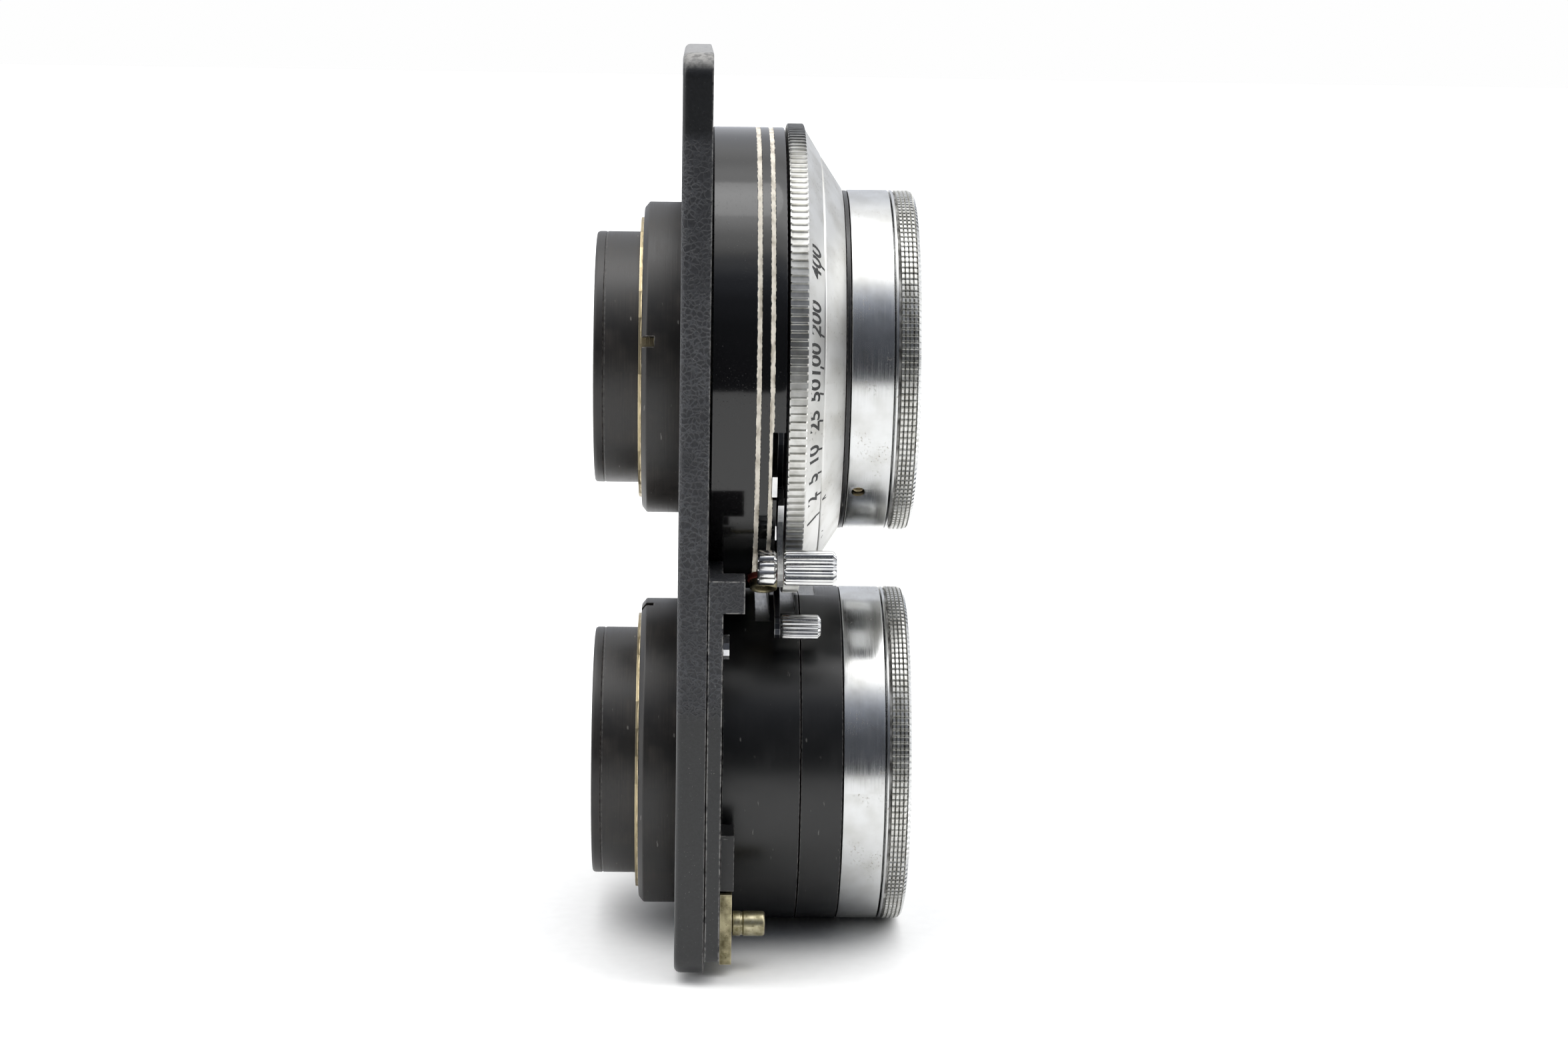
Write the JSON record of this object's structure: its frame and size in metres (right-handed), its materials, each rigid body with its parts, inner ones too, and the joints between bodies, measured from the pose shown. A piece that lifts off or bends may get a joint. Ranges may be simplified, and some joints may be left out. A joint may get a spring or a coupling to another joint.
{
  "type": "twin lens reflex lens board",
  "caption": "Interchangeable lens board with a taking lens in a leaf shutter, with speed ring, cocking and release levers, and a matching viewing lens.",
  "frame": {"origin": "on the board's rear seat face, midway between the two lens axes", "axes": "+X forward along the lens axes, +Z along the board from the viewing lens to the taking lens and shutter, +Y across the board"},
  "size_m": [0.0388, 0.062, 0.109],
  "materials": {
    "board_enamel": "black stove enamel, wrinkled in the middle of the board and satin at its ends",
    "shutter_enamel": "gloss black enamel",
    "satin_black": "satin black anodising",
    "chrome": "satin and bright chromium plate",
    "brass": "turned brass, dulled",
    "steel": "blued and brushed steel",
    "fibre": "dark red insulating fibre",
    "glass": "coated optical glass"
  },
  "bodies": {
    "root": {"lens_board": "board_enamel", "front_cover_plate": "board_enamel", "cover_screw_1": "steel", "cover_screw_2": "steel", "cover_screw_3": "steel", "cover_screw_4": "steel", "locator_plate": "brass", "locator_pin": "brass", "stop_block": "satin_black", "taking_rear_tube": "satin_black", "taking_rear_element": "glass", "taking_retaining_ring": "satin_black", "taking_front_barrel": "chrome", "taking_set_screw": "brass", "taking_front_ring": "chrome", "taking_front_element": "glass", "taking_trim_ring": "satin_black", "taking_inner_element": "glass", "viewing_rear_tube": "satin_black", "viewing_rear_element": "glass", "viewing_retaining_ring": "satin_black", "viewing_front_barrel": "chrome", "viewing_front_ring": "chrome", "viewing_front_element": "glass", "viewing_trim_ring": "satin_black", "viewing_inner_element": "glass", "shutter_case": "shutter_enamel", "taking_mount_tube": "brass", "mechanism_plate": "steel", "face_plate": "satin_black", "spacer_ring": "satin_black", "cocking_spring": "steel", "flash_socket": "brass", "flash_insulator": "fibre", "flash_contact_pin": "brass", "viewing_rear_barrel": "satin_black", "viewing_middle_barrel": "satin_black", "viewing_mount_tube": "brass"},
    "speed_ring": {"speed_ring": "satin_black"},
    "cocking_lever": {"cocking_lever": "chrome", "cocking_knob": "chrome", "cocking_rear_knob": "chrome"},
    "release_lever": {"release_lever": "steel", "release_knob": "chrome"},
    "sync_selector": {"sync_selector": "chrome"},
    "aperture_ring": {"aperture_ring": "steel"},
    "blade_drive_ring": {"blade_drive_ring": "steel"},
    "retard_sector": {"retard_sector": "brass"},
    "retard_gear": {"retard_gear": "brass"},
    "retard_pallet": {"retard_pallet": "steel"},
    "shutter_blade_1": {"shutter_blade_1": "steel"},
    "shutter_blade_2": {"shutter_blade_2": "steel"},
    "shutter_blade_3": {"shutter_blade_3": "steel"},
    "shutter_blade_4": {"shutter_blade_4": "steel"},
    "shutter_blade_5": {"shutter_blade_5": "steel"},
    "iris_leaf_1": {"iris_leaf_1": "steel"},
    "iris_leaf_2": {"iris_leaf_2": "steel"},
    "iris_leaf_3": {"iris_leaf_3": "steel"},
    "iris_leaf_4": {"iris_leaf_4": "steel"},
    "iris_leaf_5": {"iris_leaf_5": "steel"}
  },
  "joints": [
    {"name": "speed_ring_turn", "type": "hinge", "parent": "root", "child": "speed_ring", "pos_m": [0, 0, 0.025], "axis": [1, 0, 0], "range_deg": [-25, 65.9]},
    {"name": "cocking_lever_swing", "type": "hinge", "parent": "root", "child": "cocking_lever", "pos_m": [0, 0, 0.025], "axis": [-1, 0, 0], "range_deg": [0, 16], "stiffness_Nm_per_rad": 0.06, "springref_deg": -28.65},
    {"name": "release_lever_swing", "type": "hinge", "parent": "root", "child": "release_lever", "pos_m": [0, -0.00398, 0.00123], "axis": [1, 0, 0], "range_deg": [0, 5], "stiffness_Nm_per_rad": 0.05, "springref_deg": -11.46},
    {"name": "sync_selector_shift", "type": "hinge", "parent": "root", "child": "sync_selector", "pos_m": [0, 0, 0.025], "axis": [-1, 0, 0], "range_deg": [0, 10]},
    {"name": "aperture_turn", "type": "hinge", "parent": "root", "child": "aperture_ring", "pos_m": [0, 0, 0.025], "axis": [1, 0, 0], "range_deg": [-30, 0]},
    {"name": "blade_drive_turn", "type": "hinge", "parent": "root", "child": "blade_drive_ring", "pos_m": [0, 0, 0.025], "axis": [1, 0, 0], "range_deg": [0, 10], "stiffness_Nm_per_rad": 0.01, "springref_deg": -11.46},
    {"name": "retard_sector_swing", "type": "hinge", "parent": "root", "child": "retard_sector", "pos_m": [0, -0.0118, 0.04544], "axis": [1, 0, 0], "range_deg": [0, 15]},
    {"name": "retard_gear_spin", "type": "hinge", "parent": "root", "child": "retard_gear", "pos_m": [0, -0.00328, 0.04837], "axis": [1, 0, 0], "range_deg": [-46, 0]},
    {"name": "retard_pallet_rock", "type": "hinge", "parent": "root", "child": "retard_pallet", "pos_m": [0, 0.00288, 0.04842], "axis": [1, 0, 0], "range_deg": [-8, 8]},
    {"name": "shutter_blade_1_swing", "type": "hinge", "parent": "root", "child": "shutter_blade_1", "pos_m": [0, -0.02, 0.025], "axis": [1, 0, 0], "range_deg": [0, 40.5]},
    {"name": "shutter_blade_2_swing", "type": "hinge", "parent": "root", "child": "shutter_blade_2", "pos_m": [0, -0.00618, 0.04402], "axis": [1, 0, 0], "range_deg": [0, 40.5]},
    {"name": "shutter_blade_3_swing", "type": "hinge", "parent": "root", "child": "shutter_blade_3", "pos_m": [0, 0.01618, 0.03676], "axis": [1, 0, 0], "range_deg": [0, 40.5]},
    {"name": "shutter_blade_4_swing", "type": "hinge", "parent": "root", "child": "shutter_blade_4", "pos_m": [0, 0.01618, 0.01324], "axis": [1, 0, 0], "range_deg": [0, 40.5]},
    {"name": "shutter_blade_5_swing", "type": "hinge", "parent": "root", "child": "shutter_blade_5", "pos_m": [0, -0.00618, 0.00598], "axis": [1, 0, 0], "range_deg": [0, 40.5]},
    {"name": "iris_leaf_1_swing", "type": "hinge", "parent": "root", "child": "iris_leaf_1", "pos_m": [0, -0.01658, 0.03705], "axis": [1, 0, 0], "range_deg": [-20.5, 0]},
    {"name": "iris_leaf_2_swing", "type": "hinge", "parent": "root", "child": "iris_leaf_2", "pos_m": [0, 0.00634, 0.0445], "axis": [1, 0, 0], "range_deg": [-20.5, 0]},
    {"name": "iris_leaf_3_swing", "type": "hinge", "parent": "root", "child": "iris_leaf_3", "pos_m": [0, 0.0205, 0.025], "axis": [1, 0, 0], "range_deg": [-20.5, 0]},
    {"name": "iris_leaf_4_swing", "type": "hinge", "parent": "root", "child": "iris_leaf_4", "pos_m": [0, 0.00634, 0.0055], "axis": [1, 0, 0], "range_deg": [-20.5, 0]},
    {"name": "iris_leaf_5_swing", "type": "hinge", "parent": "root", "child": "iris_leaf_5", "pos_m": [0, -0.01658, 0.01295], "axis": [1, 0, 0], "range_deg": [-20.5, 0]}
  ],
  "couplings": [
    {"joint": "retard_gear_spin", "follows": "retard_sector_swing", "ratio": -3},
    {"joint": "shutter_blade_1_swing", "follows": "blade_drive_turn", "ratio": 4},
    {"joint": "shutter_blade_2_swing", "follows": "blade_drive_turn", "ratio": 4},
    {"joint": "shutter_blade_3_swing", "follows": "blade_drive_turn", "ratio": 4},
    {"joint": "shutter_blade_4_swing", "follows": "blade_drive_turn", "ratio": 4},
    {"joint": "shutter_blade_5_swing", "follows": "blade_drive_turn", "ratio": 4},
    {"joint": "iris_leaf_1_swing", "follows": "aperture_turn", "ratio": 0.66},
    {"joint": "iris_leaf_2_swing", "follows": "aperture_turn", "ratio": 0.66},
    {"joint": "iris_leaf_3_swing", "follows": "aperture_turn", "ratio": 0.66},
    {"joint": "iris_leaf_4_swing", "follows": "aperture_turn", "ratio": 0.66},
    {"joint": "iris_leaf_5_swing", "follows": "aperture_turn", "ratio": 0.66}
  ]
}
